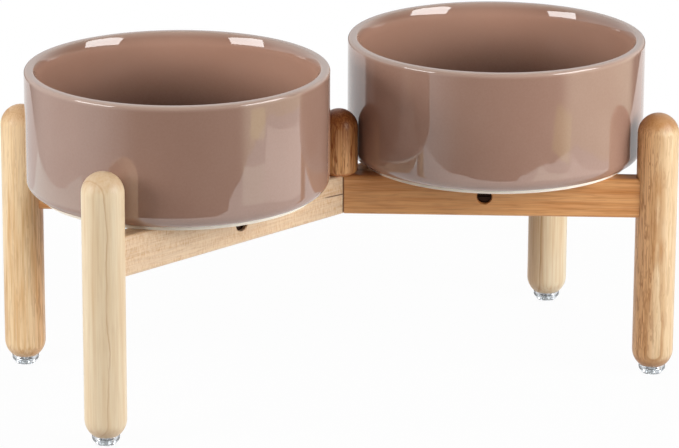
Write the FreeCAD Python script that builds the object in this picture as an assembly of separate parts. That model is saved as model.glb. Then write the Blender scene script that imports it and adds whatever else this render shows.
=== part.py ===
import FreeCAD, Part
import math
import os

# Raised pet feeder: two glazed bowls side by side on a crossed wooden stand.
# Millimetres. +Z is up, +X runs along the pair of bowls, and the front is -Y.
# The origin is on the floor, under the middle of the crossing.

# Bowls
bowl_diameter = 203.2
bowl_height = 84.8
bowl_corner_radius = 8.5  # outside, where the wall turns under
hollow_corner_radius = 16.0  # inside, where the wall turns into the floor
rim_wall = 6.0
lip_run = 2.6  # how much thicker the wall is below the lip's inner slope
lip_depth = 6.0  # from the rim down to the middle of the slope's lower bend
base_wall = 9.0
bowl_floor = 6.0
rim_outer_share = 0.4  # of the wall, rounded off the rim's outer edge
rim_inner_share = 0.2  # of the lip's slope, rounded off at the rim
lip_bend_share = 0.75  # of the lip's slope, taken up by its lower bend
foot_ring_width = 5.0
foot_ring_height = 2.5
foot_ring_edge_radius = 0.6
bowl_to_post_gap = 1.0
bowl_to_leg_gap = 4.0

# Legs and centre post
seat_height = 139.2  # floor to the rail faces that carry the bowls
rise_above_seat = 44.8  # from those faces to the tops of the legs and the post
leg_diameter = 28.0
leg_foot_diameter = 17.4  # flat left under a leg's rounded lower end
leg_bearing = 46.85  # degrees off the X axis, from a bowl's middle to its legs
post_diameter = 26.0
post_edge_radius = 3.5

# Rails
rail_height = 27.2
rail_thickness = 15.0
rail_edge_radius = 2.0
socket_depth = 4.0  # how far a rail end sinks into its leg
wood_gap = 0.1  # play beside each wood joint

# Studs, barrel nuts and threaded inserts that hold the legs to the rails
stud_diameter = 6.0
stud_length = 125.0
stud_chamfer = 0.8
stud_past_nut = 8.2  # from the nut's axis to the stud's inner end
bolt_play = 0.3  # around a stud or bolt in its wooden bore
bore_spare = 1.5  # empty depth left past the end of a fastener
fastener_gap = 0.05  # around a nut, insert or screw in its hole, and in each thread
nut_diameter = 10.0
nut_recess = 2.75  # from a rail's face to the end of the nut
nut_hole_chamfer = 0.5
nut_slot_width = 1.6
nut_slot_depth = 1.4
insert_diameter = 10.0
insert_length = 12.0
insert_tip_gap = 2.0  # from a stud's or bolt's tip to the inner end of its insert

# Bolt and washer under the crossing
washer_diameter = 12.5
washer_thickness = 1.2
bolt_head_diameter = 10.5
bolt_head_height = 3.3
bolt_head_radius = 1.2
bolt_head_sink = 1.5  # from the rail's underside up to the head
washer_play = 0.75
key_size = 4.0  # across the flats of the socket in the bolt's head
key_depth = 2.0

# Clear glides and their screws
glide_diameter = 18.4
glide_collar = 3.0  # straight upper part
glide_flare = 3.0  # sloping part down to the floor
glide_foot_diameter = 13.6
glide_side_radius = 4.0
glide_edge_radius = 0.4
screw_diameter = 3.0
screw_reach = 13.0  # into the leg
screw_point = 3.0
screw_head_diameter = 6.4
screw_head_height = 2.0
screw_head_radius = 1.0
screw_head_sink = 1.0  # from the floor up to the head
screw_head_play = 0.55
screw_cross_length = 3.6
screw_cross_width = 0.9
screw_cross_depth = 1.0

# Sizes and places worked out from the ones above
bowl_radius = bowl_diameter / 2
leg_radius = leg_diameter / 2
post_radius = post_diameter / 2
stud_radius = stud_diameter / 2
nut_radius = nut_diameter / 2
insert_radius = insert_diameter / 2
screw_radius = screw_diameter / 2
screw_hole_radius = screw_radius + fastener_gap
nut_length = rail_thickness - 2 * nut_recess
nut_hole_radius = nut_radius + fastener_gap
counterbore_radius = washer_diameter / 2 + washer_play
counterbore_depth = washer_thickness + bolt_head_height + bolt_head_sink
glide_height = glide_flare + glide_collar
glide_recess_radius = screw_head_diameter / 2 + screw_head_play
glide_recess_depth = screw_head_height + screw_head_sink

bowl_place = post_radius + bowl_to_post_gap + bowl_radius
bowl_to_leg = bowl_radius + bowl_to_leg_gap + leg_radius
leg_x = bowl_place + bowl_to_leg * math.cos(math.radians(leg_bearing))
leg_y = bowl_to_leg * math.sin(math.radians(leg_bearing))
arm_reach = math.hypot(leg_x, leg_y)
arm_angle = math.degrees(math.atan2(leg_y, leg_x))

rail_bottom = seat_height - rail_height
rail_middle = seat_height - rail_height / 2
rail_end = arm_reach - leg_radius + socket_depth
stand_top = seat_height + rise_above_seat

insert_end = rail_end + insert_length
stud_outer_end = insert_end - insert_tip_gap
stud_inner_end = stud_outer_end - stud_length
nut_place = stud_inner_end + stud_past_nut
thread_radius = stud_radius + fastener_gap
bolt_bore_radius = stud_radius + bolt_play
insert_hole_radius = insert_radius + fastener_gap

origin = FreeCAD.Vector(0, 0, 0)
upward = FreeCAD.Vector(0, 0, 1)
along_arm = FreeCAD.Vector(0, 1, 0)
across_arm = FreeCAD.Vector(1, 0, 0)
quarter_turn = 90.0
full_turn = 360.0
same_point = 1e-7

corners = {
    "front_left": (-1, -1),
    "front_right": (1, -1),
    "back_left": (-1, 1),
    "back_right": (1, 1),
}


def section(outline):
    """Flat face in the XZ plane through (x, z, rounding) corners, in order."""
    points = [FreeCAD.Vector(x, 0, z) for x, z, rounding in outline]
    turns = []
    for index, (x, z, rounding) in enumerate(outline):
        corner = points[index]
        back = (points[index - 1] - corner).normalize()
        ahead = (points[(index + 1) % len(points)] - corner).normalize()
        half_angle = back.getAngle(ahead) / 2
        run = rounding / math.tan(half_angle)
        sagitta = rounding / math.sin(half_angle) - rounding
        middle = corner + (back + ahead).normalize() * sagitta if rounding else corner
        turns.append((corner + back * run, middle, corner + ahead * run))
    edges = []
    for index, (start, middle, stop) in enumerate(turns):
        if start.distanceToPoint(stop) > same_point:
            edges.append(Part.Arc(start, middle, stop).toShape())
        following = turns[(index + 1) % len(turns)][0]
        if stop.distanceToPoint(following) > same_point:
            edges.append(Part.makeLine(stop, following))
    return Part.Face(Part.Wire(edges))


def turned(outline):
    """Solid of revolution about the Z axis from (radius, height, rounding) corners."""
    return section(outline).revolve(origin, upward, full_turn)


def bar(outline, start, end):
    """Straight bar along Y with the given section."""
    face = section(outline)
    face.translate(along_arm * start)
    return face.extrude(along_arm * (end - start))


def rod(radius, start, end):
    """Round rod along an arm, at the middle of the rail's height."""
    return Part.makeCylinder(radius, end - start, FreeCAD.Vector(0, start, rail_middle), along_arm)


def cross_rod(radius, length):
    """Round rod straight across an arm, where its barrel nut sits."""
    return Part.makeCylinder(radius, length, FreeCAD.Vector(-length / 2, nut_place, rail_middle), across_arm)


def nut_hole():
    """Cross hole for a barrel nut, with a chamfer at both mouths."""
    hole = cross_rod(nut_hole_radius, rail_thickness)
    wide = nut_hole_radius + nut_hole_chamfer
    for side in (-1, 1):
        mouth = FreeCAD.Vector(side * rail_thickness / 2, nut_place, rail_middle)
        hole = hole.fuse(Part.makeCone(wide, nut_hole_radius, nut_hole_chamfer, mouth, across_arm * -side))
    return hole


def upright(radius, bottom, top):
    """Round rod on the Z axis."""
    return Part.makeCylinder(radius, top - bottom, FreeCAD.Vector(0, 0, bottom))


def on_arm(shape, angle):
    """Turn a shape made along +Y so that it lies along the arm at this angle."""
    placed = shape.copy()
    placed.rotate(origin, upward, angle - quarter_turn)
    return placed


def at_leg(shape):
    """Move a shape made on the Z axis to the leg's axis at the end of an arm."""
    return shape.translated(along_arm * arm_reach)


def rail_outline(gap):
    """The rail's rounded section, grown by a gap on every side."""
    half = rail_thickness / 2 + gap
    low = rail_bottom - gap
    high = seat_height + gap
    rounding = rail_edge_radius + gap
    return [(-half, low, rounding), (half, low, rounding), (half, high, rounding), (-half, high, rounding)]


def bowl():
    """Straight-sided bowl with a rounded lip, a rounded lower corner and a bare foot ring."""
    ring = bowl_radius - bowl_corner_radius
    hollow_floor = foot_ring_height + bowl_floor
    slope = math.hypot(lip_run, lip_depth)
    lean = math.atan2(lip_run, lip_depth)
    edge_rounding = slope * rim_inner_share / math.tan(math.pi / 4 - lean / 2)
    bend_rounding = slope * lip_bend_share / math.tan(lean / 2)
    outline = [
        (0, foot_ring_height, 0),
        (ring - foot_ring_width, foot_ring_height, 0),
        (ring - foot_ring_width, 0, foot_ring_edge_radius),
        (ring, 0, foot_ring_edge_radius),
        (ring, foot_ring_height, 0),
        (bowl_radius, foot_ring_height, bowl_corner_radius),
        (bowl_radius, bowl_height, rim_wall * rim_outer_share),
        (bowl_radius - rim_wall, bowl_height, edge_rounding),
        (bowl_radius - rim_wall - lip_run, bowl_height - lip_depth, bend_rounding),
        (bowl_radius - base_wall, hollow_floor, hollow_corner_radius),
        (0, hollow_floor, 0),
    ]
    return turned(outline)


def leg():
    """Round leg with a domed top, a rounded lower end, a rail socket and its fastener holes."""
    foot_radius = leg_foot_diameter / 2
    below_foot = leg_radius - math.sqrt(leg_radius**2 - foot_radius**2)
    lowest = glide_height - below_foot
    dowel = turned(
        [
            (0, lowest, 0),
            (leg_radius, lowest, leg_radius),
            (leg_radius, stand_top, leg_radius),
            (0, stand_top, 0),
        ]
    )
    dowel = dowel.cut(upright(leg_radius, lowest, glide_height))
    pilot_end = glide_height + screw_reach + bore_spare
    dowel = dowel.cut(upright(screw_hole_radius, glide_height, pilot_end))
    dowel = at_leg(dowel)
    dowel = dowel.cut(bar(rail_outline(wood_gap), 0, rail_end))
    return dowel.cut(rod(insert_hole_radius, rail_end, insert_end + bore_spare))


def rail(upper):
    """One of the crossed rails: the upper one keeps its top half at the lap, the other its bottom half."""
    body = bar(rail_outline(0), -rail_end, rail_end)
    half_width = rail_thickness / 2 + wood_gap
    low, high = (rail_bottom, rail_middle) if upper else (rail_middle, seat_height)
    crossing = bar(
        [(-half_width, low, 0), (half_width, low, 0), (half_width, high, 0), (-half_width, high, 0)],
        -rail_end,
        rail_end,
    )
    crossing_angle = 2 * arm_angle if upper else -2 * arm_angle
    body = body.cut(on_arm(crossing, quarter_turn + crossing_angle))
    half_turn = 2 * quarter_turn
    stud_bore = rod(bolt_bore_radius, stud_inner_end - bore_spare, rail_end)
    for side in (0, half_turn):
        for hole in (nut_hole(), stud_bore):
            body = body.cut(on_arm(hole, quarter_turn + side))
    body = body.cut(upright(bolt_bore_radius, rail_bottom, seat_height))
    return body.cut(upright(counterbore_radius, rail_bottom, rail_bottom + counterbore_depth))


def post():
    """Domed post between the bowls, with a hole for its insert."""
    dowel = turned(
        [
            (0, seat_height, 0),
            (post_radius, seat_height, post_edge_radius),
            (post_radius, stand_top, post_radius),
            (0, stand_top, 0),
        ]
    )
    return dowel.cut(upright(insert_hole_radius, seat_height, seat_height + insert_length + bore_spare))


def post_insert():
    """Threaded insert in the foot of the post."""
    sleeve = upright(insert_radius, seat_height, seat_height + insert_length)
    return sleeve.cut(upright(thread_radius, seat_height, seat_height + insert_length))


def leg_insert():
    """Threaded insert behind a leg's socket."""
    return rod(insert_radius, rail_end, insert_end).cut(rod(thread_radius, rail_end, insert_end))


def stud():
    """Threaded stud from the barrel nut to the insert, chamfered at both ends."""
    blank = rod(stud_radius, stud_inner_end, stud_outer_end)
    ends = [edge for edge in blank.Edges if edge.isClosed() and edge.Curve.TypeId == "Part::GeomCircle"]
    return blank.makeChamfer(stud_chamfer, ends)


def barrel_nut(front):
    """Cross dowel with a threaded hole, and a screwdriver slot in the end that faces the front."""
    nut = cross_rod(nut_radius, nut_length)
    nut = nut.cut(rod(thread_radius, nut_place - nut_radius, nut_place + nut_radius))
    slot_floor = nut_length / 2 - nut_slot_depth if front > 0 else -nut_length / 2
    slot_corner = FreeCAD.Vector(slot_floor, nut_place - nut_radius, rail_middle - nut_slot_width / 2)
    return nut.cut(Part.makeBox(nut_slot_depth, nut_diameter, nut_slot_width, slot_corner))


def glide():
    """Clear glide with flared sides, recessed underneath for its screw."""
    outline = [
        (screw_hole_radius, glide_recess_depth, 0),
        (glide_recess_radius, glide_recess_depth, 0),
        (glide_recess_radius, 0, 0),
        (glide_foot_diameter / 2, 0, glide_edge_radius),
        (glide_diameter / 2, glide_flare, glide_side_radius),
        (glide_diameter / 2, glide_height, glide_edge_radius),
        (screw_hole_radius, glide_height, 0),
    ]
    return at_leg(turned(outline))


def glide_screw():
    """Pan-head screw that holds a glide, with a cross recess in its head."""
    head_bottom = glide_recess_depth - screw_head_height
    tip = glide_height + screw_reach
    outline = [
        (0, head_bottom, 0),
        (screw_head_diameter / 2, head_bottom, screw_head_radius),
        (screw_head_diameter / 2, glide_recess_depth, 0),
        (screw_radius, glide_recess_depth, 0),
        (screw_radius, tip - screw_point, 0),
        (0, tip, 0),
    ]
    screw = turned(outline)
    for long_way, wide_way in (
        (screw_cross_length, screw_cross_width),
        (screw_cross_width, screw_cross_length),
    ):
        start = FreeCAD.Vector(-long_way / 2, -wide_way / 2, head_bottom)
        screw = screw.cut(Part.makeBox(long_way, wide_way, screw_cross_depth, start))
    return at_leg(screw)


def centre_bolt():
    """Button-head bolt up through the crossing into the post, with a hexagon socket."""
    head_top = rail_bottom + counterbore_depth - washer_thickness
    head_bottom = head_top - bolt_head_height
    tip = seat_height + insert_length - insert_tip_gap
    outline = [
        (0, head_bottom, 0),
        (bolt_head_diameter / 2, head_bottom, bolt_head_radius),
        (bolt_head_diameter / 2, head_top, 0),
        (stud_radius, head_top, 0),
        (stud_radius, tip, 0),
        (0, tip, 0),
    ]
    flat_count = 6
    key_reach = key_size / 2 / math.cos(math.pi / flat_count)
    points = []
    for corner in range(flat_count + 1):
        turn = 2 * math.pi * corner / flat_count
        points.append(FreeCAD.Vector(key_reach * math.cos(turn), key_reach * math.sin(turn), head_bottom))
    key = Part.Face(Part.makePolygon(points)).extrude(upward * key_depth)
    return turned(outline).cut(key)


def centre_washer():
    """Plain washer between the bolt's head and the counterbore."""
    top = rail_bottom + counterbore_depth
    ring = upright(washer_diameter / 2, top - washer_thickness, top)
    return ring.cut(upright(bolt_bore_radius, top - washer_thickness, top))


def save(name, shape):
    """Write one piece as its own file, after making sure that it is one sound solid."""
    solids = shape.Solids
    if len(solids) != 1 or not solids[0].isValid():
        raise ValueError(f"{name} is not one sound solid")
    solids[0].exportStep(f"parts/{name}.step")


os.makedirs("parts", exist_ok=True)

save("rail_lower", on_arm(rail(upper=False), arm_angle))
save("rail_upper", on_arm(rail(upper=True), -arm_angle))
save("centre_post", post())
save("post_insert", post_insert())
save("centre_bolt", centre_bolt())
save("centre_washer", centre_washer())

for corner_name, (side_x, side_y) in corners.items():
    angle = math.degrees(math.atan2(side_y * leg_y, side_x * leg_x))
    save(f"leg_{corner_name}", on_arm(leg(), angle))
    save(f"leg_insert_{corner_name}", on_arm(leg_insert(), angle))
    save(f"stud_{corner_name}", on_arm(stud(), angle))
    save(f"barrel_nut_{corner_name}", on_arm(barrel_nut(front=side_x), angle))
    save(f"glide_{corner_name}", on_arm(glide(), angle))
    save(f"glide_screw_{corner_name}", on_arm(glide_screw(), angle))

for bowl_name, side_x in (("bowl_left", -1), ("bowl_right", 1)):
    save(bowl_name, bowl().translated(FreeCAD.Vector(side_x * bowl_place, 0, seat_height)))
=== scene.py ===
import math

import bmesh
import bpy
from mathutils import Matrix, Vector


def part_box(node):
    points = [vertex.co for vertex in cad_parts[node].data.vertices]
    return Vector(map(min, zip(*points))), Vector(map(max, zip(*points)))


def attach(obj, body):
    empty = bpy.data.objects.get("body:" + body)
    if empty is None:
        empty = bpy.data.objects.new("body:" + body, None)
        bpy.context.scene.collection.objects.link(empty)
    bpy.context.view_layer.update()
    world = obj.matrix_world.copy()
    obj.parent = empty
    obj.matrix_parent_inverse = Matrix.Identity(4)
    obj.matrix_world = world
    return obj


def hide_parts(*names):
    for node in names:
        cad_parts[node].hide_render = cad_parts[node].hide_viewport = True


bl_info = {
    "name": "Raised feeder",
    "version": (1, 0, 0),
    "blender": (4, 5, 0),
    "location": "3D View > Sidebar > Feeder",
    "description": "Dresses a raised feeder: two glazed bowls on a crossed wooden stand",
    "category": "Object",
}

# The frame is in metres: +X runs along the pair of bowls, +Z is up and the front is -Y.
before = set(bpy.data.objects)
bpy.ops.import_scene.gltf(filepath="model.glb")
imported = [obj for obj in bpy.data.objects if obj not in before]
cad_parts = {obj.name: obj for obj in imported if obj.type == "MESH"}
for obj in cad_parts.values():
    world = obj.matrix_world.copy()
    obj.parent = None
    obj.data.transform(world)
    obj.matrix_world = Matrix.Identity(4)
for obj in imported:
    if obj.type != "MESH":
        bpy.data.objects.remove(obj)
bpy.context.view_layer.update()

MM = 0.001
CORNERS = ("front_left", "front_right", "back_left", "back_right")
BOWLS = ("bowl_left", "bowl_right")
UP = Vector((0, 0, 1))
WHITE = (1, 1, 1, 1)


# Properties

def length(name, description, default):
    """Property for a size in metres."""
    return bpy.props.FloatProperty(
        name=name, description=description, default=default, min=0, unit="LENGTH", precision=5
    )


def place(name, description, default):
    """Property for a point in metres."""
    return bpy.props.FloatVectorProperty(
        name=name, description=description, default=default, size=3, subtype="TRANSLATION", unit="LENGTH"
    )


def number(name, description, default):
    """Property for a plain number."""
    return bpy.props.FloatProperty(name=name, description=description, default=default, min=0)


def angle(name, description, degrees):
    """Property for an angle, written in degrees."""
    return bpy.props.FloatProperty(
        name=name, description=description, default=math.radians(degrees), subtype="ANGLE"
    )


def linear(screen):
    """Linear light of a screen value from 0 to 255."""
    share = screen / 255
    return share / 12.92 if share <= 0.04045 else ((share + 0.055) / 1.055) ** 2.4


def colour(name, description, screen):
    """Property for a colour, written as red, green and blue screen values from 0 to 255."""
    light = [linear(value) for value in screen]
    return bpy.props.FloatVectorProperty(
        name=name, description=description, default=light, size=3, subtype="COLOR", min=0, max=1
    )


def group(settings, name, description):
    """Property that holds a group of settings."""
    return bpy.props.PointerProperty(type=settings, name=name, description=description)


class BowlSettings(bpy.types.PropertyGroup):
    """Sizes and colours of the glazed bowls."""

    corner_radius: length("Corner radius", "Outside, where the wall turns under", 8.5 * MM)
    hollow_radius: length("Hollow radius", "Inside, where the wall turns into the floor", 16 * MM)
    rim_wall: length("Rim wall", "Thickness of the wall at the rim", 6 * MM)
    base_wall: length("Base wall", "Thickness of the wall at the floor", 9 * MM)
    floor: length("Floor", "Thickness of the floor", 6 * MM)
    rim_rounding: length("Rim rounding", "Rounding of the rim's outer edge", 2.4 * MM)
    lip_rounding: length("Lip rounding", "Rounding of the rim's inner edge", 1.9 * MM)
    lip_run: length("Lip run", "How much thicker the wall is below the lip", 2.6 * MM)
    lip_depth: length("Lip depth", "From the rim down to the bend below the lip", 6 * MM)
    lip_bend: length("Lip bend", "Radius of the bend below the lip", 23.5 * MM)
    ring_width: length("Foot ring width", "Width of the bare ring under the bowl", 5 * MM)
    ring_height: length("Foot ring height", "Height of the bare ring", 2.5 * MM)
    ring_rounding: length("Foot ring rounding", "Rounding of the ring's edges", 0.6 * MM)
    glaze_groove: length("Glaze groove", "Undercut where the glaze stops above the ring", 0.4 * MM)
    glaze: colour("Glaze", "Glaze on the outside", (153, 119, 103))
    # The hollow's glaze is painted lighter than the outside's, for the light that the hollow throws back on
    # itself.
    hollow_glaze: colour("Hollow glaze", "Lighter glaze of the hollow", (186, 144, 123))
    thin_glaze: colour("Thin glaze", "Where the glaze runs thin, at the rim and ring", (200, 174, 158))
    # Darker low in the hollow: partly glaze that pools there, partly painted shade of the deep hollow.
    pooled_glaze: colour("Pooled glaze", "Where the glaze lies thick, low in the hollow", (58, 33, 24))
    glaze_index: number("Glaze index", "Index of refraction of the glaze", 1.9)
    clay: colour("Clay", "Bare foot ring", (254, 246, 233))


class WoodSettings(bpy.types.PropertyGroup):
    """Colours of the varnished wood, one for each piece."""

    leg_front_left: colour("Front left leg", "Pale wood of this leg", (241, 221, 188))
    leg_front_right: colour("Front right leg", "Pale wood of this leg", (228, 202, 164))
    leg_back_left: colour("Back left leg", "Pale wood of this leg", (245, 215, 171))
    leg_back_right: colour("Back right leg", "Pale wood of this leg", (247, 228, 195))
    centre_post: colour("Centre post", "Wood of the post", (232, 178, 120))
    rail_lower: colour("Lower rail", "Pale wood of this rail", (236, 208, 175))
    rail_upper: colour("Upper rail", "Pale wood of this rail", (227, 168, 110))


class FittingSettings(bpy.types.PropertyGroup):
    """Sizes and colours of the glides and fasteners."""

    glide_flare: length("Glide flare", "Height of the sloping lower part", 3 * MM)
    glide_foot: length("Glide foot", "Diameter on the floor", 13.6 * MM)
    glide_side: length("Glide side", "Rounding where the slope meets the collar", 4 * MM)
    glide_edge: length("Glide edge", "Rounding of the edges", 0.4 * MM)
    glide_hole: length("Glide hole", "Diameter of the screw hole", 3.1 * MM)
    recess: length("Glide recess", "Diameter of the recess for the screw's head", 7.5 * MM)
    recess_depth: length("Recess depth", "Depth of that recess", 3 * MM)
    plastic: colour("Plastic", "Clear plastic of the glides", (236, 241, 246))
    steel: colour("Steel", "Zinc plating of the fasteners", (188, 188, 184))
    # The black oxide is painted brown: a painted reflection of the hole's wood, with the shade of the hole.
    black_steel: colour("Black steel", "Black oxide on the barrel nuts", (56, 38, 29))


class StageSettings(bpy.types.PropertyGroup):
    """Floor, lamps and camera."""

    camera_turn: angle("Camera turn", "From +Y towards +X", 21.7623)
    camera_tilt: angle("Camera tilt", "Below the horizon", 17.0235)
    camera_roll: angle("Camera roll", "About the line of sight", 0.2409)
    camera_distance: length("Camera distance", "From the camera to the point it aims at", 2.72649)
    camera_aim: place("Camera aim", "Point in the middle of the picture", (0.000617, -0.000246, 0.102545))
    camera_lens: number("Camera lens", "Focal length in millimetres", 212.0436)
    floor: colour("Floor", "Pale floor", (200, 200, 200))
    backdrop: colour("Backdrop", "White backdrop as the feeder mirrors it", (230, 231, 233))
    room: colour("Room", "Dim room on the camera's side and beyond the floor", (40, 40, 41))
    ambient: colour("Ambient", "Even light that the room adds to matt surfaces", (75, 75, 77))
    left_wall: colour("Left wall", "White wall on the left, as the feeder mirrors it", (249, 249, 249))
    right_wall: colour("Right wall", "Warm wall on the right, as the feeder mirrors it", (255, 249, 222))
    lamp: number("Lamp brightness", "Brightness of the softboxes' faces", 6.95)


class FeederSettings(bpy.types.PropertyGroup):
    """All settings of the feeder."""

    bowl: group(BowlSettings, "Bowls", "Glazed bowls")
    wood: group(WoodSettings, "Wood", "Legs, post and rails")
    fitting: group(FittingSettings, "Fittings", "Glides and fasteners")
    stage: group(StageSettings, "Stage", "Floor, lamps and camera")


# Node trees

class Signal:
    """One output of a node. Sums on it become Math nodes in the same tree."""

    def __init__(self, sheet, socket):
        self.sheet = sheet
        self.socket = socket

    def math(self, operation, *terms):
        return self.sheet.node("ShaderNodeMath", {"operation": operation}, dict(enumerate(terms)))

    def __add__(self, other):
        return self.math("ADD", self, other)

    def __sub__(self, other):
        return self.math("SUBTRACT", self, other)

    def __rsub__(self, other):
        return self.math("SUBTRACT", other, self)

    def __mul__(self, other):
        return self.math("MULTIPLY", self, other)

    def __truediv__(self, other):
        return self.math("DIVIDE", self, other)

    def __pow__(self, other):
        return self.math("POWER", self, other)

    def __abs__(self):
        return self.math("ABSOLUTE", self)

    def either(self, other):
        """The larger of two values."""
        return self.math("MAXIMUM", self, other)

    __radd__ = __add__
    __rmul__ = __mul__


class Sheet:
    """The node tree of one finish."""

    def __init__(self, tree):
        self.tree = tree
        tree.nodes.clear()

    def node(self, kind, settings=None, sockets=None, output=0):
        """Add a node: its settings first, then the values or links of its sockets."""
        made = self.tree.nodes.new(kind)
        for name, value in (settings or {}).items():
            setattr(made, name, value)
        for key, value in (sockets or {}).items():
            if isinstance(value, Signal):
                self.tree.links.new(value.socket, made.inputs[key])
            else:
                made.inputs[key].default_value = value
        return Signal(self, made.outputs[output]) if made.outputs else None

    def point(self):
        """Point of the surface on its own object, in metres."""
        return self.node("ShaderNodeTexCoord", output="Object")

    def ray(self, kind):
        """1 for rays of one kind: Camera, Glossy or Transmission."""
        return self.node("ShaderNodeLightPath", output=f"Is {kind} Ray")

    def vector(self, operation, first, second, output="Vector"):
        return self.node("ShaderNodeVectorMath", {"operation": operation}, {0: first, 1: second}, output)

    def along(self, point, direction):
        """How far a point lies along a direction."""
        return self.vector("DOT_PRODUCT", point, direction, "Value")

    def reach(self, point):
        """How far a point lies from the origin."""
        return self.node("ShaderNodeVectorMath", {"operation": "LENGTH"}, {0: point}, "Value")

    def join(self, x, y, z):
        return self.node("ShaderNodeCombineXYZ", None, {0: x, 1: y, 2: z})

    def mix(self, factor, first, second):
        """Blend of two colours."""
        return self.node("ShaderNodeMix", {"data_type": "RGBA"}, {0: factor, 6: first, 7: second}, 2)

    def step(self, value, low, high):
        """Smooth step from 0 at low to 1 at high."""
        sockets = {"Value": value, "From Min": low, "From Max": high}
        return self.node("ShaderNodeMapRange", {"interpolation_type": "SMOOTHSTEP"}, sockets)

    def noise(self, point, scale, detail=2.0, roughness=0.5):
        sockets = {"Vector": point, "Scale": scale, "Detail": detail, "Roughness": roughness}
        return self.node("ShaderNodeTexNoise", None, sockets)

    def bump(self, height, distance):
        return self.node("ShaderNodeBump", None, {"Height": height, "Distance": distance})

    def principled(self, sockets):
        return self.node("ShaderNodeBsdfPrincipled", None, sockets)


def opaque(rgb):
    """Colour with full alpha."""
    return (*rgb, 1.0)


def scaled(rgb, factors):
    """Colour with each channel multiplied."""
    return tuple(min(1.0, value * factor) for value, factor in zip(rgb, factors))


def finish(name, recipe):
    """New material whose surface comes from a recipe."""
    material = bpy.data.materials.new(name)
    material.use_nodes = True
    sheet = Sheet(material.node_tree)
    surface = recipe(sheet)
    sheet.node("ShaderNodeOutputMaterial", None, {"Surface": surface})
    return material


# Glazed ceramic

# Marks per metre in the glaze
CLOUDS = 22.0
SPECKS = 700.0
WAVES = 26.0
PEEL = 260.0
# Darker glaze low in the hollow, partly pooled glaze and partly painted shade: its share on the middle of the
# hollow's floor, the shares of the bowl's radius between which it grows to the whole, and how far up the wall
# it reaches, in roundings of the hollow
POOL_AND_SHADE_MIDDLE = 0.4
POOL_AND_SHADE_STEP = (0.3, 0.85)
POOL_AND_SHADE_HEIGHT = 4
# Width over which the hollow's glaze, painted lighter for the light that the hollow throws back on itself,
# takes over inside the rim, the depths below the rim between which the hollow turns duller, and the height
# over which the glaze runs thin above the ring
HOLLOW_BLEND = 3 * MM
DULL_STEP = (13 * MM, 22 * MM)
RING_BLEND = 2 * MM
# How far down the glaze runs thin at the rim, in roundings of the rim, and how thin it is at rim and ring
RIM_BLEND = 1.7
THIN_RIM = 0.62
THIN_RING = 0.5
GLAZE_RELIEF = 0.25 * MM


def glaze_finish(name, settings, foot, outer, top):
    """Glossy glaze of a bowl, thin and pale at its edges, with the hollow painted lighter for its own bounced
    light and darker low down, partly pooled glaze and partly painted shade.
    """

    def recipe(sheet):
        local = sheet.vector("SUBTRACT", sheet.point(), foot)
        height = sheet.along(local, UP)
        radius = sheet.reach(sheet.vector("MULTIPLY", local, (1, 1, 0)))
        broad = sheet.noise(local, CLOUDS, 3.0)
        fine = sheet.noise(local, SPECKS, 3.0)
        thin_glaze = opaque(settings.thin_glaze)
        lip = outer - settings.rim_wall
        # Inside the rim the glaze is painted lighter, for the light that the hollow throws back on itself.
        inside = 1 - sheet.step(radius, lip - HOLLOW_BLEND, lip)
        hollow = settings.ring_height + settings.floor
        # Painted shade low in the hollow, with some pooled glaze, lighter again in the middle of the floor.
        deep = 1 - sheet.step(height, hollow, hollow + POOL_AND_SHADE_HEIGHT * settings.hollow_radius)
        out = sheet.step(radius, POOL_AND_SHADE_STEP[0] * outer, POOL_AND_SHADE_STEP[1] * outer)
        deep = deep * (out * (1 - POOL_AND_SHADE_MIDDLE) + POOL_AND_SHADE_MIDDLE)
        held = sheet.mix(deep, opaque(settings.hollow_glaze), opaque(settings.pooled_glaze))
        tone = sheet.mix(inside, opaque(settings.glaze), held)
        mottle = (broad - 0.5) * 0.25 + (fine - 0.5) * 0.12
        tone = sheet.mix(mottle + 0.06, tone, thin_glaze)
        at_rim = sheet.step(height, top - RIM_BLEND * settings.rim_rounding, top)
        at_ring = 1 - sheet.step(height, settings.ring_height, settings.ring_height + RING_BLEND)
        tone = sheet.mix(at_rim * THIN_RIM + at_ring * THIN_RING * (1 - inside), tone, thin_glaze)
        dull = inside * (1 - sheet.step(height, top - DULL_STEP[1], top - DULL_STEP[0]))
        relief = sheet.noise(local, WAVES, 1.0) + sheet.noise(local, PEEL, 1.0) * 0.02
        return sheet.principled({
            "Base Color": tone,
            "Roughness": fine * 0.03 + 0.01 + dull * 0.14,
            "IOR": settings.glaze_index,
            "Normal": sheet.bump(relief, GLAZE_RELIEF),
        })

    return finish(name, recipe)


# Marks per metre in the clay, what its darker marks keep of red, green and blue, and its relief
CLAY_GRIT = 1500.0
CLAY_CLOUDS = 60.0
SHADED_CLAY = (0.86, 0.8, 0.72)
CLAY_RELIEF = 0.08 * MM


def clay_finish(name, settings):
    """Bare fired clay of the foot ring."""

    def recipe(sheet):
        point = sheet.point()
        grit = sheet.noise(point, CLAY_GRIT, 4.0, 0.65)
        cloud = sheet.noise(point, CLAY_CLOUDS, 2.0)
        shade = opaque(scaled(settings.clay, SHADED_CLAY))
        return sheet.principled({
            "Base Color": sheet.mix(grit * 0.5 + cloud * 0.3 - 0.2, opaque(settings.clay), shade),
            "Roughness": grit * 0.2 + 0.65,
            "Normal": sheet.bump(grit, CLAY_RELIEF),
        })

    return finish(name, recipe)


# Wood

# What each mark in the wood keeps of red, green and blue
DEEP_WOOD = (0.78, 0.6, 0.4)
# Darker side of a piece: painted shade on the front right leg, a darker side of the wood on the back legs
DARK_SIDE_WOOD = (0.9, 0.58, 0.34)
RING_LINE = (0.56, 0.31, 0.11)
OPEN_PORE = (0.36, 0.16, 0.05)
END_GRAIN = (0.55, 0.3, 0.13)
# Painted shade over the top of the post, where the bowls shade it
TOP_SHADE = (0.3, 0.14, 0.05)
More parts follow.
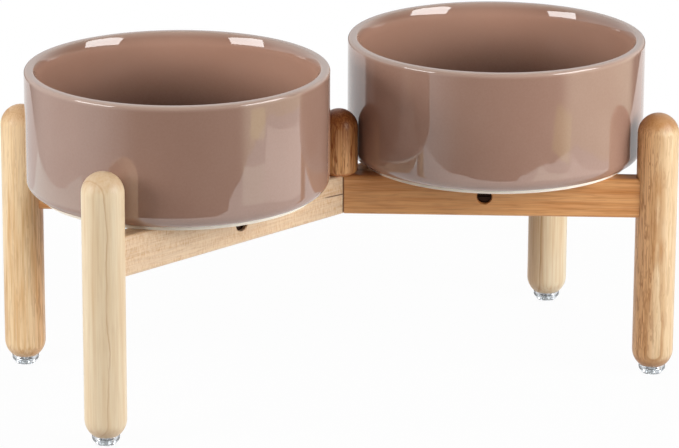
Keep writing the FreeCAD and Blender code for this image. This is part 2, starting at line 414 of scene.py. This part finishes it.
# Painted shade in the gap of the lap and in a hairline crack
SEAM_GAP_SHADE = (0.16, 0.07, 0.03)
# In millimetres: the soft edge of a ring line, the widths over which the darker side and the painted shade of
# a split set in, the near and far edges of the seam's painted shade, and the edge of the split
LINE_EDGE = 0.2
DARK_SIDE_BLEND = 11
SPLIT_BLEND = 8
SEAM_NEAR = (-0.1, 0.1)
SEAM_FAR = (0.4, 0.9)
SPLIT_EDGE = (0.25, 0.6)
# Slopes between which faces stop being upright and start being end grain
UPRIGHT_STEP = (0.3, 0.6)
END_STEP = (0.1, 0.6)
SEAM_GAP_SHADE_STRENGTH = 0.92
WOOD_RELIEF = 0.03 * MM


def wood_finish(name, tone, origin, grain, side, look):
    """Varnished wood cut from a round trunk, with its grain along one direction.

    The look holds, in millimetres, the place of the pith across the grain, the spacing and width of the
    dark ring lines and how far they wander, and the strengths of the other marks. Some pieces have more:
    dark_side a darker side, which on the front right leg is painted shade where it faces the right bowl,
    top_shade painted shade over the top, seam how far from the crossing the painted shade in the gap of the
    lap lies, and split a hairline crack, drawn as painted shade, that runs into that line.
    """
    third = grain.cross(side)

    def recipe(sheet):
        local = sheet.vector("SUBTRACT", sheet.point(), origin)
        across = sheet.along(local, side) / MM
        through = sheet.along(local, third) / MM
        along = sheet.along(local, grain) / MM
        seed = look["seed"]

        def marks(wide, long, detail=2.0, roughness=0.5, shift=0.0):
            """Noise from 0 to 1, with so many marks per millimetre across and along the grain."""
            point = sheet.join((across + shift) * wide + seed, (through + shift) * wide - seed, along * long)
            return sheet.noise(point, 1.0, detail, roughness)

        def stain(strength, wood, keeps):
            """Wood mixed with a darker shade of its own tone."""
            return sheet.mix(strength, wood, opaque(scaled(tone, keeps)))

        wander = ((marks(0.02, 0.014) - 0.5) + (marks(0.06, 0.05) - 0.5) * 0.4) * look["wander"]
        pith_x, pith_y = look["pith"]
        ring_x = across - pith_x + wander
        ring_y = through - pith_y + wander + along * look["tilt"]
        spacing = look["spacing"]
        rings = ((ring_x * ring_x + ring_y * ring_y) ** 0.5) / spacing
        grown = rings.math("FRACT", rings) * spacing
        fade = marks(0.05, 0.03) * 1.5 - 0.15
        line = sheet.step(grown, spacing - look["line"], spacing - LINE_EDGE)
        line = line * (1 - sheet.step(grown, spacing - LINE_EDGE, spacing))
        late = sheet.step(grown, 0.0, spacing)
        streak = marks(0.5, 0.016, 2.0, 0.6)
        band = marks(0.2, 0.006, 3.0, 0.6)
        patch = marks(0.06, 0.012)
        ripple = (marks(0.3, 0.16, 1.0) - 0.5) * look["ripple"]
        vessel = 1 - sheet.step(abs(marks(0.62, 0.03, 1.0, 0.5, ripple) - 0.5), 0.0, 0.12)
        pore = vessel * (sheet.step(marks(0.3, 0.06), 0.35, 0.55) * 0.7 + 0.3)
        fleck = sheet.noise(sheet.join(across * 0.7 + seed, through * 0.3, along * 1.1), 1.0, 2.0, 0.6)
        normal = sheet.node("ShaderNodeNewGeometry", output="Normal")
        end = sheet.step(abs(sheet.along(normal, grain)), *END_STEP)
        depth = 0.22 + (streak - 0.5) * look["streaks"] + (band - 0.5) * look["bands"]
        depth = depth + (patch - 0.5) * look["patches"] + (fleck - 0.5) * look["flecks"] + late * look["late"]
        wood = stain(depth, opaque(tone), DEEP_WOOD)
        # Darker on one side: on the front right leg this is painted shade, where it faces the right bowl.
        if "dark_side" in look:
            dark_side_x, dark_side_y, start, strength = look["dark_side"]
            dark_side = sheet.step(across * dark_side_x + through * dark_side_y + wander, start, start + DARK_SIDE_BLEND)
            wood = stain(dark_side * strength, wood, DARK_SIDE_WOOD)
            pore = pore * (dark_side * 0.6 + 0.4)
        wood = stain(line * fade * look["rings"], wood, RING_LINE)
        wood = stain(pore * look["pores"], wood, OPEN_PORE)
        wood = stain(end * look["end"], wood, END_GRAIN)
        # Painted shade over the top of the piece, darker in its pores.
        if "top_shade" in look:
            start, stop, strength = look["top_shade"]
            wood = stain(sheet.step(along, start, stop) * (pore * 0.6 + strength), wood, TOP_SHADE)
        # Painted shade in the gap where the rails' faces meet at the lap, and in a hairline crack.
        if "seam" in look:
            beyond = abs(along) - look["seam"]
            upright = 1 - sheet.step(abs(sheet.along(normal, UP)), *UPRIGHT_STEP)
            gap_shade = sheet.step(beyond, *SEAM_NEAR) * (1 - sheet.step(beyond, *SEAM_FAR)) * upright
            if "split" in look:
                start, stop, height, fall = look["split"]
                level = abs(through + height + (along - start) * fall)
                crack = sheet.step(along, start, start + SPLIT_BLEND)
                crack = crack * (1 - sheet.step(along, stop + SEAM_NEAR[0], stop + SEAM_NEAR[1]))
                gap_shade = gap_shade.either(crack * (1 - sheet.step(level, *SPLIT_EDGE)) * upright)
            wood = stain(gap_shade * SEAM_GAP_SHADE_STRENGTH, wood, SEAM_GAP_SHADE)
        return sheet.principled({
            "Base Color": wood,
            "Roughness": streak * 0.14 + 0.34 + pore * 0.1,
            "Specular IOR Level": 0.35,
            "Coat Weight": 0.3,
            "Coat Roughness": 0.3,
            "Normal": sheet.bump(streak - pore * look["pores"] * 0.3, WOOD_RELIEF),
        })

    return finish(name, recipe)


# Glides and fasteners

# Flow marks per metre in the plastic, what they keep of its colour, their relief, and the heights above the
# floor between which the scuffs end
FLOW_MARKS = 420.0
FLOW_SHADE = (0.9, 0.9, 0.9)
FLOW_RELIEF = 0.01 * MM
SCUFF_STEP = (0.1 * MM, 0.9 * MM)
PLASTIC_INDEX = 1.49
# Turning marks and clouds per metre in the plating, what the clouds keep of its colour, and the marks' relief
TURNING_MARKS = 900.0
PLATING_CLOUDS = 180.0
DULL_PLATING = (0.72, 0.7, 0.66)
PLATING_RELIEF = 0.03 * MM


def plastic_finish(name, settings):
    """Clear moulded plastic with faint flow marks, scuffed where it meets the floor."""

    def recipe(sheet):
        point = sheet.point()
        flow = sheet.noise(point, FLOW_MARKS, 3.0)
        scuff = 1 - sheet.step(sheet.along(point, UP), *SCUFF_STEP)
        shade = opaque(scaled(settings.plastic, FLOW_SHADE))
        return sheet.principled({
            "Base Color": sheet.mix(flow * 0.3, opaque(settings.plastic), shade),
            "Roughness": flow * 0.06 + 0.06 + scuff * 0.2,
            "IOR": PLASTIC_INDEX,
            "Transmission Weight": 0.8,
            "Normal": sheet.bump(flow, FLOW_RELIEF),
        })

    return finish(name, recipe)


def steel_finish(name, tone):
    """Plated steel with fine turning marks."""

    def recipe(sheet):
        point = sheet.point()
        marks = sheet.noise(sheet.vector("MULTIPLY", point, (1.0, 1.0, 6.0)), TURNING_MARKS, 3.0)
        cloud = sheet.noise(point, PLATING_CLOUDS, 2.0)
        return sheet.principled({
            "Base Color": sheet.mix(cloud * 0.7, opaque(tone), opaque(scaled(tone, DULL_PLATING))),
            "Metallic": 1.0,
            "Roughness": marks * 0.25 + 0.18,
            "Normal": sheet.bump(marks, PLATING_RELIEF),
        })

    return finish(name, recipe)


# Meshes

# Longest pieces that arcs and straight runs are split into
TURN_STEP = math.radians(4)
RUN_STEP = 5 * MM
# Points closer to the axis than this are on it
AXIS_GAP = 1e-7
# Edges that turn more than this stay sharp
SHARP_ANGLE = math.radians(38)


def rounded_path(corners):
    """Points along (radius, height, rounding) corners. Each rounding is an arc, and long runs are split."""
    points = [Vector(corners[0][:2])]
    for before, corner, after in zip(corners, corners[1:], corners[2:]):
        here = Vector(corner[:2])
        rounding = corner[2]
        if not rounding:
            points.append(here)
            continue
        back = (Vector(before[:2]) - here).normalized()
        ahead = (Vector(after[:2]) - here).normalized()
        half = back.angle(ahead) / 2
        middle = here + (back + ahead).normalized() * (rounding / math.sin(half))
        first = (here + back * (rounding / math.tan(half)) - middle).normalized()
        last = (here + ahead * (rounding / math.tan(half)) - middle).normalized()
        count = max(2, math.ceil(first.angle(last) / TURN_STEP))
        points += [middle + first.slerp(last, index / count) * rounding for index in range(count + 1)]
    points.append(Vector(corners[-1][:2]))
    path = points[:1]
    for start, stop in zip(points, points[1:]):
        count = max(1, math.ceil((stop - start).length / RUN_STEP))
        path += [start.lerp(stop, (index + 1) / count) for index in range(count)]
    return path


def turned(name, path, centre, count, closed=False):
    """Mesh turned about an upright axis from points of (radius, height)."""
    mesh = bpy.data.meshes.new(name)
    shape = bmesh.new()
    turns = [math.tau * index / count for index in range(count)]
    around = [(math.cos(turn), math.sin(turn)) for turn in turns]
    rings = []
    for radius, height in path:
        z = centre.z + height
        spots = [(0, 0)] if radius < AXIS_GAP else around
        rings.append([shape.verts.new((centre.x + radius * x, centre.y + radius * y, z)) for x, y in spots])
    pairs = list(zip(rings, rings[1:]))
    if closed:
        pairs.append((rings[-1], rings[0]))
    for lower, upper in pairs:
        for index in range(count):
            following = (index + 1) % count
            if len(lower) == 1:
                shape.faces.new((lower[0], upper[following], upper[index]))
            elif len(upper) == 1:
                shape.faces.new((lower[index], lower[following], upper[0]))
            else:
                shape.faces.new((lower[index], lower[following], upper[following], upper[index]))
    bmesh.ops.recalc_face_normals(shape, faces=shape.faces)
    shape.to_mesh(mesh)
    shape.free()
    mesh.shade_smooth()
    mesh.set_sharp_from_angle(angle=SHARP_ANGLE)
    piece = bpy.data.objects.new(name, mesh)
    bpy.context.scene.collection.objects.link(piece)
    return piece


def stand_for(piece, node, body):
    """Let a piece take a node's place on its body."""
    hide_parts(node)
    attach(piece, body)


def dress(node, material):
    """Give a node that keeps its shape a new finish."""
    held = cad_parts[node]
    held.data.materials.clear()
    held.data.materials.append(material)


def axis_of(node):
    """Point at the middle of an upright round node's foot."""
    low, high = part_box(node)
    return Vector(((low.x + high.x) / 2, (low.y + high.y) / 2, low.z))


# Operators

class FEEDER_OT_bowls(bpy.types.Operator):
    """Turn the two bowls and glaze them"""

    bl_idname = "feeder.bowls"
    bl_label = "Glazed bowls"

    SEGMENTS = 256
    # How far the bare clay reaches in past the ring, and how far below its top it stops on the outside
    CLAY_INSIDE = 0.5 * MM
    CLAY_STOP = 0.2 * MM

    def outline(self, settings, radius, height):
        """Corners of a bowl's section, from under its middle round to the middle of its hollow."""
        ring = radius - settings.corner_radius
        ring_height = settings.ring_height
        groove = settings.glaze_groove
        edge = settings.ring_rounding
        hollow = ring_height + settings.floor
        lip = radius - settings.rim_wall
        return [
            (0, ring_height, 0),
            (ring - settings.ring_width, ring_height, edge),
            (ring - settings.ring_width, 0, edge),
            (ring, 0, edge),
            (ring, ring_height - groove, groove / 2),
            (ring - groove, ring_height + groove / 2, groove / 4),
            (ring - groove / 4, ring_height, groove / 4),
            (radius, ring_height, settings.corner_radius),
            (radius, height, settings.rim_rounding),
            (lip, height, settings.lip_rounding),
            (lip - settings.lip_run, height - settings.lip_depth, settings.lip_bend),
            (radius - settings.base_wall, hollow, settings.hollow_radius),
            (0, hollow, 0),
        ]

    def bare_ring(self, piece, settings, foot, ring):
        """Leave the foot ring in bare clay, the piece's second finish."""
        inner = ring - settings.ring_width - self.CLAY_INSIDE
        groove = settings.glaze_groove
        for face in piece.data.polygons:
            out = (face.center - foot).xy.length
            up = face.center.z - foot.z
            below = up < settings.ring_height + groove / 4
            on_side = out < ring + AXIS_GAP and up < settings.ring_height - self.CLAY_STOP
            if below and out > inner and (out < ring - groove / 5 or on_side):
                face.material_index = 1

    def execute(self, context):
        settings = context.scene.feeder.bowl
        clay = clay_finish("bare_clay", settings)
        for node in BOWLS:
            low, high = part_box(node)
            radius = min(high.x - low.x, high.y - low.y) / 2
            height = high.z - low.z
            foot = axis_of(node)
            path = rounded_path(self.outline(settings, radius, height))
            piece = turned(f"glazed_{node}", path, foot, self.SEGMENTS)
            piece.data.materials.append(glaze_finish(f"glaze_{node}", settings, foot, radius, height))
            piece.data.materials.append(clay)
            self.bare_ring(piece, settings, foot, radius - settings.corner_radius)
            stand_for(piece, node, node)
        return {"FINISHED"}


class FEEDER_OT_legs(bpy.types.Operator):
    """Finish the four legs and the centre post in varnished wood"""

    bl_idname = "feeder.legs"
    bl_label = "Legs and post"

    LOOKS = {
        "leg_front_left": {
            "seed": 3.7, "pith": (36.8, 15.8), "tilt": 0.0, "spacing": 24.95, "line": 1.2, "wander": 4.0,
            "rings": 0.65, "late": 0.0, "streaks": 0.9, "bands": 0.6, "patches": 0.5, "ripple": 0.0,
            "pores": 0.06, "flecks": 0.0, "end": 0.3,
        },
        "leg_front_right": {
            "seed": 11.2, "pith": (15.0, 37.0), "tilt": 0.006, "spacing": 17.83, "line": 1.4, "wander": 1.0,
            "rings": 0.85, "late": 0.0, "streaks": 1.2, "bands": 0.6, "patches": 0.5, "ripple": 1.6,
            "pores": 0.68, "flecks": 0.0, "end": 0.75, "dark_side": (-0.93, 0.37, -3.0, 0.74),
        },
        "leg_back_left": {
            "seed": 23.9, "pith": (34.0, 30.0), "tilt": 0.006, "spacing": 9.0, "line": 2.6, "wander": 6.0,
            "rings": 0.15, "late": 0.1, "streaks": 2.6, "bands": 1.2, "patches": 2.0, "ripple": 1.0,
            "pores": 0.5, "flecks": 0.0, "end": 0.35, "dark_side": (0.93, -0.37, 3.0, 0.3),
        },
        "leg_back_right": {
            "seed": 31.4, "pith": (55.7, -22.3), "tilt": 0.0, "spacing": 67.2, "line": 2.6, "wander": 3.0,
            "rings": 1.0, "late": 0.0, "streaks": 1.6, "bands": 2.0, "patches": 0.8, "ripple": 0.5,
            "pores": 0.12, "flecks": 0.0, "end": 0.15, "dark_side": (-0.93, 0.37, 2.0, 0.45),
        },
        "centre_post": {
            "seed": 47.8, "pith": (14.0, 36.0), "tilt": 0.02, "spacing": 17.0, "line": 1.3, "wander": 3.0,
            "rings": 0.5, "late": 0.3, "streaks": 2.6, "bands": 1.2, "patches": 0.5, "ripple": 1.2,
            "pores": 1.0, "flecks": 0.0, "end": 0.7, "top_shade": (8.0, 36.0, 0.55),
        },
    }

    def execute(self, context):
        settings = context.scene.feeder.wood
        side = Vector((1, 0, 0))
        for node, look in self.LOOKS.items():
            tone = getattr(settings, node)
            dress(node, wood_finish(f"wood_{node}", tone, axis_of(node), UP, side, look))
        return {"FINISHED"}


class FEEDER_OT_rails(bpy.types.Operator):
    """Finish the two crossed rails in varnished wood"""

    bl_idname = "feeder.rails"
    bl_label = "Rails"

    LOOKS = {
        "rail_lower": {
            "seed": 5.1, "pith": (70.0, 6.0), "tilt": 0.0, "spacing": 12.0, "line": 1.6, "wander": 3.0,
            "rings": 0.1, "late": 0.0, "streaks": 1.4, "bands": 0.6, "patches": 0.4, "ripple": 0.5,
            "pores": 0.15, "flecks": 2.1, "end": 0.5, "seam": 3.3, "split": (-24.0, -3.3, 1.6, -0.05),
        },
        "rail_upper": {
            "seed": 17.6, "pith": (-6.0, -70.0), "tilt": 0.012, "spacing": 9.0, "line": 1.2, "wander": 4.0,
            "rings": 0.35, "late": 0.1, "streaks": 2.8, "bands": 1.4, "patches": 0.8, "ripple": 0.3,
            "pores": 0.22, "flecks": 0.0, "end": 0.5, "seam": 3.3,
        },
    }
    ENDS = {
        "rail_lower": ("leg_front_left", "leg_back_right"),
        "rail_upper": ("leg_back_left", "leg_front_right"),
    }

    def execute(self, context):
        settings = context.scene.feeder.wood
        for node, look in self.LOOKS.items():
            first, last = (axis_of(leg) for leg in self.ENDS[node])
            low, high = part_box(node)
            middle = Vector((0, 0, (low.z + high.z) / 2))
            grain = (last - first).normalized()
            tone = getattr(settings, node)
            dress(node, wood_finish(f"wood_{node}", tone, middle, grain, grain.cross(UP), look))
        return {"FINISHED"}


class FEEDER_OT_glides(bpy.types.Operator):
    """Mould the clear glides under the legs"""

    bl_idname = "feeder.glides"
    bl_label = "Clear glides"

    SEGMENTS = 72

    def outline(self, settings, radius, height):
        """Corners of a glide's section, round from the top of its screw hole."""
        hole = settings.glide_hole / 2
        recess = settings.recess / 2
        edge = settings.glide_edge
        return [
            (hole, height, 0),
            (hole, settings.recess_depth, 0),
            (recess, settings.recess_depth, 0),
            (recess, 0, edge / 2),
            (settings.glide_foot / 2, 0, edge),
            (radius, settings.glide_flare, settings.glide_side),
            (radius, height, edge),
            (hole, height, 0),
        ]

    def execute(self, context):
        settings = context.scene.feeder.fitting
        clear = plastic_finish("clear_plastic", settings)
        for corner in CORNERS:
            node = f"glide_{corner}"
            low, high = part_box(node)
            path = rounded_path(self.outline(settings, (high.x - low.x) / 2, high.z - low.z))
            piece = turned(f"moulded_{node}", path[:-1], axis_of(node), self.SEGMENTS, closed=True)
            piece.data.materials.append(clear)
            stand_for(piece, node, "stand")
        return {"FINISHED"}


class FEEDER_OT_fasteners(bpy.types.Operator):
    """Plate the studs, nuts, inserts, screws, bolt and washer"""

    bl_idname = "feeder.fasteners"
    bl_label = "Fasteners"

    KINDS = ("leg_insert", "stud", "glide_screw")
    SINGLE = ("post_insert", "centre_bolt", "centre_washer")

    def execute(self, context):
        settings = context.scene.feeder.fitting
        plated = steel_finish("zinc_plating", settings.steel)
        black = steel_finish("black_oxide", settings.black_steel)
        for node in [*self.SINGLE, *(f"{kind}_{corner}" for kind in self.KINDS for corner in CORNERS)]:
            dress(node, plated)
        for corner in CORNERS:
            dress(f"barrel_nut_{corner}", black)
        return {"FINISHED"}


class FEEDER_OT_stage(bpy.types.Operator):
    """Set the floor, the lamps and the camera"""

    bl_idname = "feeder.stage"
    bl_label = "Stage"

    # Name, middle, direction it faces, width and height, in metres, its share of the brightness, and
    # whether shiny surfaces mirror it
    SOFTBOXES = (
        ("softbox_right", (0.63, -0.76, 0.62), (-0.95, 0.25, -0.2), 0.78, 0.46, 0.82, True),
        ("softbox_left", (-1.2, -0.15, 0.55), (0.97, 0.1, -0.2), 0.64, 0.42, 0.82, True),
        ("fill_left", (-1.2, -0.15, 0.55), (0.97, 0.1, -0.2), 0.64, 0.42, 0.85, False),
        ("low_softbox_right", (0.62, -0.75, 0.3), (-0.7, 0.7, -0.1), 0.8, 0.3, 0.78, False),
        ("high_softbox_left", (-0.62, -0.3, 0.75), (0.6, 0.3, -0.55), 0.42, 0.36, 0.5, False),
        ("fill_right", (0.25, -0.5, 0.3), (-0.3, 0.9, -0.27), 0.25, 0.2, 0.32, False),
        ("softbox_back", (0.45, 1.15, 0.7), (-0.35, -0.9, -0.4), 0.9, 0.6, 0.95, False),
    )
    # Cards that lie level on the floor and only shiny surfaces show: name, middle, turn in degrees, width
    # and depth, in metres, and brightness in red, green and blue
    CARDS = (
        ("warm_card", (0.43, -0.66), 45, 0.17, 0.15, (0.5, 0.45, 0.1)),
        ("white_card", (0.474, -0.312), 67, 0.43, 0.2, (0.55, 0.47, 0.41)),
        ("near_card", (0.265, -0.525), 35, 0.23, 0.125, (0.5, 0.5, 0.38)),
        ("left_card", (-0.523, 0.206), 63.4, 0.58, 0.3, (0.33, 0.45, 0.42)),
    )
    CARD_HEIGHT = 2 * MM
    # Outline of the pale floor, in metres
    FLOOR = (
        (-0.45, -0.3), (-0.32, -0.42), (-0.142, -0.5), (0.03, -0.56), (0.06, -0.613), (0.27, -0.641),
        (0.46, -0.59), (0.54, -0.56), (0.659, -0.327), (0.711, -0.179), (0.85, 0.2), (1.1, 1.4),
        (-0.25, 1.4), (-0.438, 0.79), (-0.53, 0.6), (-0.556, 0.456), (-0.717, 0.123), (-0.62, -0.12),
    )
    # Share of glow on the floor near the feeder, where it takes the shadow, and the radii in metres between
    # which it grows to the whole
    FLOOR_GLOW_SHARE = 0.97
    GLOW_STEP = (0.3, 0.6)
    # Parts of a direction of length 1 between which the room's tones change: towards the back, upwards at
    # the horizon and at the tops of the walls, and sideways at the right and the left wall
    BACK_STEP = (-0.25, 0.45)
    HORIZON_STEP = (-0.02, 0.02)
    WALL_TOP_STEP = (-0.05, 0.15)
    RIGHT_WALL_STEP = (0.7, 0.84)
    LEFT_WALL_STEP = (0.4, 0.97)
    # Width of the camera's sensor, in millimetres
    SENSOR = 36

    def floor_finish(self, settings):
        """Pale floor that glows white to the camera, also by way of shiny and clear surfaces, and keeps a
        soft shadow."""

        def recipe(sheet):
            seen = sheet.ray("Camera").either(sheet.ray("Glossy")).either(sheet.ray("Transmission"))
            clear = sheet.step(sheet.reach(sheet.point()), *self.GLOW_STEP)
            glow = seen * (self.FLOOR_GLOW_SHARE + clear * (1 - self.FLOOR_GLOW_SHARE))
            matt = sheet.node("ShaderNodeBsdfDiffuse", None, {"Color": opaque(settings.floor)})
            light = sheet.node("ShaderNodeEmission", None, {"Color": WHITE})
            return sheet.node("ShaderNodeMixShader", None, {0: glow, 1: matt, 2: light})

        return finish("pale_floor", recipe)

    def set_floor(self, settings):
        mesh = bpy.data.meshes.new("floor")
        mesh.from_pydata([(x, y, 0) for x, y in self.FLOOR], [], [range(len(self.FLOOR))])
        mesh.materials.append(self.floor_finish(settings))
        floor = bpy.data.objects.new("floor", mesh)
        bpy.context.scene.collection.objects.link(floor)

    def set_world(self, settings):
        """Room that shiny surfaces mirror: a white backdrop, white walls at the sides and a dim near side.

        Matt surfaces get the even ambient light, and the camera sees plain white.
        """
        world = bpy.data.worlds.new("studio")
        world.use_nodes = True
        sheet = Sheet(world.node_tree)
        direction = sheet.node("ShaderNodeTexCoord", output="Generated")
        rise = sheet.along(direction, UP)
        back = sheet.along(direction, (0, 1, 0))
        behind = sheet.step(back, *self.BACK_STEP) * sheet.step(rise, *self.HORIZON_STEP)
        room = sheet.mix(behind, opaque(settings.room), opaque(settings.backdrop))
        low = 1 - sheet.step(rise, *self.WALL_TOP_STEP)
        turn = settings.camera_turn
        walls = (
            (1, settings.right_wall, self.RIGHT_WALL_STEP),
            (-1, settings.left_wall, self.LEFT_WALL_STEP),
        )
        for side, wall, wall_step in walls:
            aside = sheet.along(direction, (side * math.cos(turn), -side * math.sin(turn), 0))
            room = sheet.mix(sheet.step(aside, *wall_step) * low, room, opaque(wall))
        room = sheet.mix(sheet.ray("Glossy"), opaque(settings.ambient), room)
        shown = sheet.mix(sheet.ray("Camera").either(sheet.ray("Transmission")), room, WHITE)
        backdrop = sheet.node("ShaderNodeBackground", None, {"Color": shown, "Strength": 1.0})
        sheet.node("ShaderNodeOutputWorld", None, {"Surface": backdrop})
        bpy.context.scene.world = world

    def set_panel(self, name, middle, width, height, brightness):
        """Flat lamp that the camera doesn't see. Its light leaves along its own -Z."""
        lamp = bpy.data.lights.new(name, "AREA")
        lamp.shape = "RECTANGLE"
        lamp.size = width
        lamp.size_y = height
        lamp.energy = brightness * math.pi * width * height
        panel = bpy.data.objects.new(name, lamp)
        panel.location = middle
        panel.visible_camera = False
        bpy.context.scene.collection.objects.link(panel)
        return panel

    def set_lamps(self, settings):
        for name, middle, facing, width, height, share, mirrored in self.SOFTBOXES:
            softbox = self.set_panel(name, middle, width, height, settings.lamp * share)
            softbox.rotation_euler = Vector(facing).to_track_quat("-Z", "Y").to_euler()
            softbox.visible_glossy = mirrored
        for name, (x, y), degrees, width, depth, glow in self.CARDS:
            card = self.set_panel(name, (x, y, self.CARD_HEIGHT), width, depth, 1.0)
            card.data.color = glow
            card.rotation_euler = (math.pi, 0, math.radians(degrees))
            card.visible_diffuse = False

    def set_camera(self, settings):
        lens = bpy.data.cameras.new("camera")
        lens.lens = settings.camera_lens
        lens.sensor_width = self.SENSOR
        camera = bpy.data.objects.new("camera", lens)
        turn = Matrix.Rotation(-settings.camera_turn, 4, "Z")
        tilt = Matrix.Rotation(math.pi / 2 - settings.camera_tilt, 4, "X")
        roll = Matrix.Rotation(settings.camera_roll, 4, "Z")
        pose = turn @ tilt @ roll
        back = pose @ Vector((0, 0, settings.camera_distance))
        camera.matrix_world = Matrix.Translation(Vector(settings.camera_aim) + back) @ pose
        bpy.context.scene.collection.objects.link(camera)
        bpy.context.scene.camera = camera

    def execute(self, context):
        settings = context.scene.feeder.stage
        self.set_floor(settings)
        self.set_world(settings)
        self.set_lamps(settings)
        self.set_camera(settings)
        context.scene.view_settings.view_transform = "Standard"
        return {"FINISHED"}


class FEEDER_PT_panel(bpy.types.Panel):
    """Buttons that dress the feeder"""

    bl_idname = "FEEDER_PT_panel"
    bl_label = "Raised feeder"
    bl_space_type = "VIEW_3D"
    bl_region_type = "UI"
    bl_category = "Feeder"

    def draw(self, context):
        for operator in OPERATORS:
            self.layout.operator(operator.bl_idname)


OPERATORS = (
    FEEDER_OT_bowls,
    FEEDER_OT_legs,
    FEEDER_OT_rails,
    FEEDER_OT_glides,
    FEEDER_OT_fasteners,
    FEEDER_OT_stage,
)
GROUPS = (BowlSettings, WoodSettings, FittingSettings, StageSettings, FeederSettings)
CLASSES = (*GROUPS, *OPERATORS, FEEDER_PT_panel)


def register():
    for each in CLASSES:
        bpy.utils.register_class(each)
    bpy.types.Scene.feeder = group(FeederSettings, "Feeder", "Settings of the raised feeder")


def unregister():
    del bpy.types.Scene.feeder
    for each in reversed(CLASSES):
        bpy.utils.unregister_class(each)


def main():
    register()
    bpy.ops.feeder.bowls()
    bpy.ops.feeder.legs()
    bpy.ops.feeder.rails()
    bpy.ops.feeder.glides()
    bpy.ops.feeder.fasteners()
    bpy.ops.feeder.stage()


if __name__ == "__main__":
    main()
